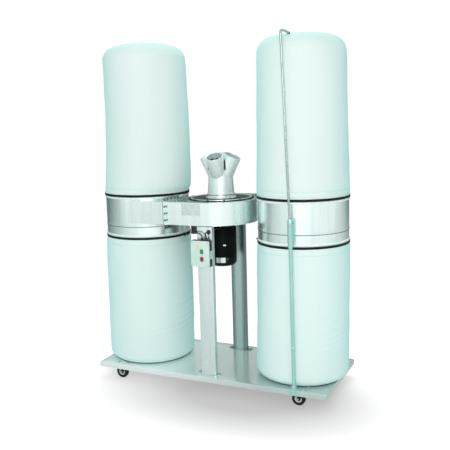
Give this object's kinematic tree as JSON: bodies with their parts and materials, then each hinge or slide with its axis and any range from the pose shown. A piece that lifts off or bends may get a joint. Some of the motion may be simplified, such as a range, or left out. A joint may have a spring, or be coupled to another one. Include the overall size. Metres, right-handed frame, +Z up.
{
  "type": "dust collector",
  "caption": "Dust collector: a motor-driven blower with a branched hose inlet feeds round collars that carry cloth filter bags above and collection bags below, on a wheeled base.",
  "frame": {"origin": "on the floor under the impeller's axis, at the centre of the overall box's bottom", "axes": "+Z up, +X from the blower towards the right bags as seen from the switch, -Y is the side with the switch"},
  "size_m": [1.538, 0.6046, 2.009],
  "materials": {
    "sheet_paint": "pale sheet steel with a satin, softly reflecting finish",
    "base_paint": "pale grey sheet steel with a glossy, even finish",
    "black_paint": "black paint, semi-gloss",
    "motor_paint": "black-green paint on a cast motor body",
    "steel": "bare or zinc-plated steel",
    "cast": "cast aluminium",
    "copper": "copper winding on laminated steel",
    "pole_paint": "pale green-grey paint on tube",
    "cloth": "felted filter cloth, soft matte",
    "film": "smooth woven bag cloth, matte",
    "tyre": "hard black rubber",
    "black_plastic": "black moulded plastic",
    "switch_plastic": "pale moulded plastic",
    "green": "green button",
    "red": "red button"
  },
  "bodies": {
    "root": {"base_pan": "base_paint", "front_pillar": "sheet_paint", "rear_pillar": "sheet_paint", "blower_housing": "sheet_paint", "blower_cover": "black_paint", "inlet_manifold": "sheet_paint", "right_collar": "sheet_paint", "right_filter_bag": "cloth", "right_collection_bag": "film", "right_pole_tube": "pole_paint", "right_pole_rod": "pole_paint", "right_pole_bracket": "pole_paint", "right_pole_foot": "pole_paint", "right_lower_clamp_band": "black_paint", "right_upper_clamp_band": "black_paint", "left_collar": "sheet_paint", "left_filter_bag": "cloth", "left_collection_bag": "film", "left_pole_tube": "pole_paint", "left_pole_rod": "pole_paint", "left_pole_bracket": "pole_paint", "left_pole_foot": "pole_paint", "left_lower_clamp_band": "black_paint", "left_upper_clamp_band": "black_paint", "motor_frame": "motor_paint", "stator": "copper", "upper_end_bell": "motor_paint", "lower_end_bell": "motor_paint", "upper_bearing": "steel", "lower_bearing": "steel", "fan_cover": "motor_paint", "terminal_box": "black_plastic", "terminal_lid": "black_plastic", "switch_box": "black_plastic", "switch_lid": "switch_plastic", "cable_grommet": "black_plastic", "motor_lead": "black_plastic", "control_lead": "black_plastic", "front_left_caster_plate": "steel", "front_right_caster_plate": "steel", "rear_left_caster_plate": "steel", "rear_right_caster_plate": "steel"},
    "right_lower_lever": {"right_lower_clamp_lever": "black_paint"},
    "right_upper_lever": {"right_upper_clamp_lever": "black_paint"},
    "left_lower_lever": {"left_lower_clamp_lever": "black_paint"},
    "left_upper_lever": {"left_upper_clamp_lever": "black_paint"},
    "rotor": {"rotor_shaft": "steel", "impeller": "cast", "cooling_fan": "black_plastic"},
    "start_button": {"start_button": "green"},
    "stop_button": {"stop_button": "red"},
    "front_left_fork": {"front_left_caster_fork": "black_paint"},
    "front_left_wheel": {"front_left_caster_wheel": "tyre"},
    "front_right_fork": {"front_right_caster_fork": "black_paint"},
    "front_right_wheel": {"front_right_caster_wheel": "tyre"},
    "rear_left_fork": {"rear_left_caster_fork": "black_paint"},
    "rear_left_wheel": {"rear_left_caster_wheel": "tyre"},
    "rear_right_fork": {"rear_right_caster_fork": "black_paint"},
    "rear_right_wheel": {"rear_right_caster_wheel": "tyre"}
  },
  "joints": [
    {"name": "rotor_spin", "type": "hinge", "parent": "root", "child": "rotor", "pos_m": [0, 0, 0.95], "axis": [0, 0, 1], "continuous": true},
    {"name": "start_press", "type": "slide", "parent": "root", "child": "start_button", "axis": [0, 1, 0], "range_m": [0, 0.003], "stiffness_N_per_m": 400},
    {"name": "stop_press", "type": "slide", "parent": "root", "child": "stop_button", "axis": [0, 1, 0], "range_m": [0, 0.004], "stiffness_N_per_m": 400},
    {"name": "right_lower_latch", "type": "hinge", "parent": "root", "child": "right_lower_lever", "pos_m": [0.239, 0.02, 0.878], "axis": [0, 0, -1], "range_deg": [0, 105]},
    {"name": "right_upper_latch", "type": "hinge", "parent": "root", "child": "right_upper_lever", "pos_m": [0.239, 0.02, 1.131], "axis": [0, 0, -1], "range_deg": [0, 105]},
    {"name": "left_lower_latch", "type": "hinge", "parent": "root", "child": "left_lower_lever", "pos_m": [-0.239, -0.02, 0.878], "axis": [0, 0, -1], "range_deg": [0, 105]},
    {"name": "left_upper_latch", "type": "hinge", "parent": "root", "child": "left_upper_lever", "pos_m": [-0.239, -0.02, 1.131], "axis": [0, 0, -1], "range_deg": [0, 105]},
    {"name": "front_left_swivel", "type": "hinge", "parent": "root", "child": "front_left_fork", "pos_m": [-0.572, -0.237, 0.09], "axis": [0, 0, 1], "continuous": true},
    {"name": "front_left_roll", "type": "hinge", "parent": "front_left_fork", "child": "front_left_wheel", "pos_m": [-0.594, -0.237, 0.0375], "axis": [0, 1, 0], "continuous": true},
    {"name": "front_right_swivel", "type": "hinge", "parent": "root", "child": "front_right_fork", "pos_m": [0.572, -0.237, 0.09], "axis": [0, 0, 1], "continuous": true},
    {"name": "front_right_roll", "type": "hinge", "parent": "front_right_fork", "child": "front_right_wheel", "pos_m": [0.55, -0.237, 0.0375], "axis": [0, 1, 0], "continuous": true},
    {"name": "rear_left_swivel", "type": "hinge", "parent": "root", "child": "rear_left_fork", "pos_m": [-0.572, 0.237, 0.09], "axis": [0, 0, 1], "continuous": true},
    {"name": "rear_left_roll", "type": "hinge", "parent": "rear_left_fork", "child": "rear_left_wheel", "pos_m": [-0.594, 0.237, 0.0375], "axis": [0, 1, 0], "continuous": true},
    {"name": "rear_right_swivel", "type": "hinge", "parent": "root", "child": "rear_right_fork", "pos_m": [0.572, 0.237, 0.09], "axis": [0, 0, 1], "continuous": true},
    {"name": "rear_right_roll", "type": "hinge", "parent": "rear_right_fork", "child": "rear_right_wheel", "pos_m": [0.55, 0.237, 0.0375], "axis": [0, 1, 0], "continuous": true}
  ]
}
